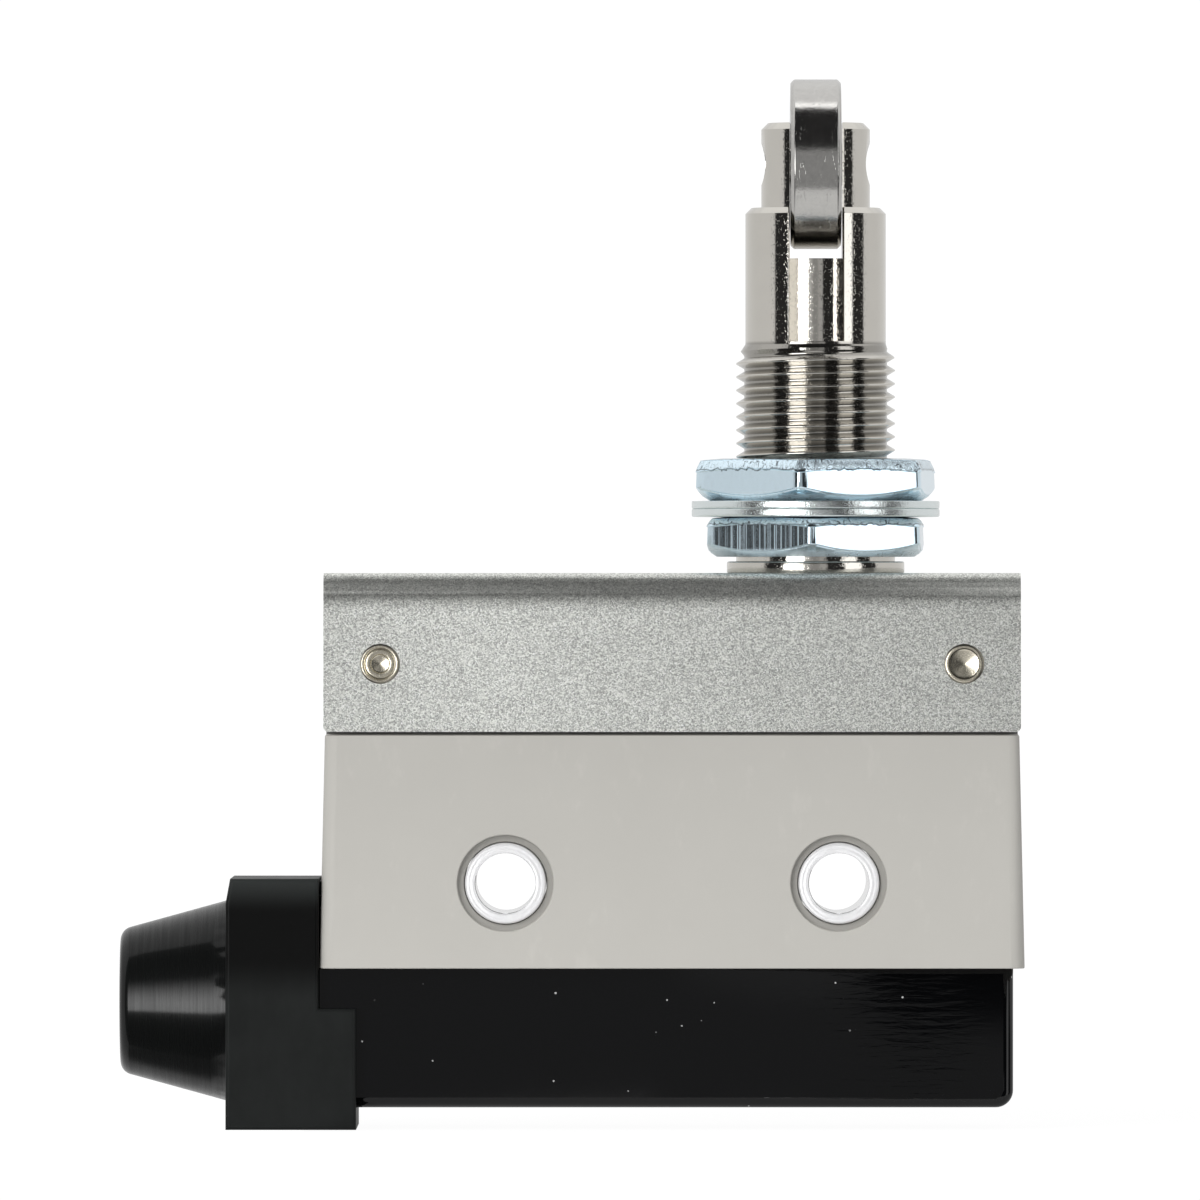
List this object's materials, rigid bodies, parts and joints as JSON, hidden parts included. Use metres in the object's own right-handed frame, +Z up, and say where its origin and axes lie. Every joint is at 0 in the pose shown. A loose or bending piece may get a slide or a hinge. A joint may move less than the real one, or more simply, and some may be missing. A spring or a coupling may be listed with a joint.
{
  "type": "enclosed micro switch",
  "caption": "Enclosed snap-action switch with a grey body, black terminal cover, rubber cable boot and a threaded barrel with a sprung cross-roller plunger.",
  "frame": {"origin": "midway between the two mounting holes, half way through the housing", "axes": "+X towards the barrel's end of the housing, +Y from the front face to the back face along the mounting holes, +Z up the barrel and the plunger"},
  "size_m": [0.068, 0.0194, 0.079],
  "materials": {
    "case_moulding": "moulded, fine matt, warm light grey",
    "sheet_paint": "silver-grey sparkle paint",
    "dark_rubber": "plain",
    "black_moulding": "glossy, black",
    "boot_rubber": "matt, black",
    "eyelet_metal": "bright, drawn",
    "rivet_nickel": "nickel plated",
    "barrel_nickel": "turned, nickel plated",
    "spring_steel": "plain",
    "zinc_steel": "bright zinc plated, bluish",
    "roller_steel": "turned and tumbled",
    "button_moulding": "moulded",
    "base_moulding": "moulded",
    "contact_copper": "rolled spring strip",
    "contact_silver": "bright",
    "terminal_brass": "stamped"
  },
  "bodies": {
    "case": {"housing": "case_moulding", "top_cover": "sheet_paint", "cover_gasket": "dark_rubber", "terminal_cover": "black_moulding", "cable_boot": "boot_rubber", "mounting_eyelet_left": "eyelet_metal", "mounting_eyelet_right": "eyelet_metal", "cover_rivet_left": "rivet_nickel", "cover_rivet_right": "rivet_nickel", "threaded_barrel": "barrel_nickel", "barrel_retaining_ring": "spring_steel", "lower_hex_nut": "zinc_steel", "upper_hex_nut": "zinc_steel", "lower_panel_washer": "zinc_steel", "upper_panel_washer": "zinc_steel", "return_spring": "spring_steel", "switch_base": "base_moulding", "inner_cover": "base_moulding", "blade_pivot_pin": "spring_steel", "common_terminal": "terminal_brass", "normally_open_terminal": "terminal_brass", "normally_closed_terminal": "terminal_brass", "normally_open_contact": "contact_silver", "normally_closed_contact": "contact_silver", "common_screw": "zinc_steel", "normally_open_screw": "zinc_steel", "normally_closed_screw": "zinc_steel", "common_clamp_washer": "zinc_steel", "normally_open_clamp_washer": "zinc_steel", "normally_closed_clamp_washer": "zinc_steel"},
    "plunger": {"roller_plunger": "barrel_nickel", "roller_pin": "roller_steel", "plunger_seal_ring": "dark_rubber", "retaining_ring": "spring_steel", "overtravel_spring": "spring_steel"},
    "roller_wheel": {"roller": "roller_steel"},
    "pin": {"push_pin": "roller_steel"},
    "button": {"push_button": "button_moulding"},
    "blade": {"contact_blade": "contact_copper", "moving_contact": "contact_silver"}
  },
  "joints": [
    {"name": "plunger_slide", "type": "slide", "parent": "case", "child": "plunger", "axis": [0, 0, 1], "range_m": [-0.0055, 0], "stiffness_N_per_m": 600, "springref_m": 0.004, "deforming": ["return_spring"]},
    {"name": "roller_spin", "type": "hinge", "parent": "plunger", "child": "roller_wheel", "pos_m": [0.01085, 0, 0.0541], "axis": [1, 0, 0], "continuous": true},
    {"name": "push_pin_slide", "type": "slide", "parent": "plunger", "child": "pin", "axis": [0, 0, 1], "range_m": [0, 0.00489], "deforming": ["overtravel_spring"]},
    {"name": "button_slide", "type": "slide", "parent": "case", "child": "button", "axis": [0, 0, 1], "range_m": [-0.000683, 0]},
    {"name": "blade_tilt", "type": "hinge", "parent": "case", "child": "blade", "pos_m": [-0.0165, 0, 0.0072], "axis": [0, 1, 0], "range_deg": [0, 1.4]}
  ],
  "couplings": [
    {"joint": "push_pin_slide", "follows": "plunger_slide", "ratio": -0.87945},
    {"joint": "button_slide", "follows": "plunger_slide", "ratio": 0.12055},
    {"joint": "blade_tilt", "follows": "plunger_slide", "rad_per_m": -4.4077}
  ]
}
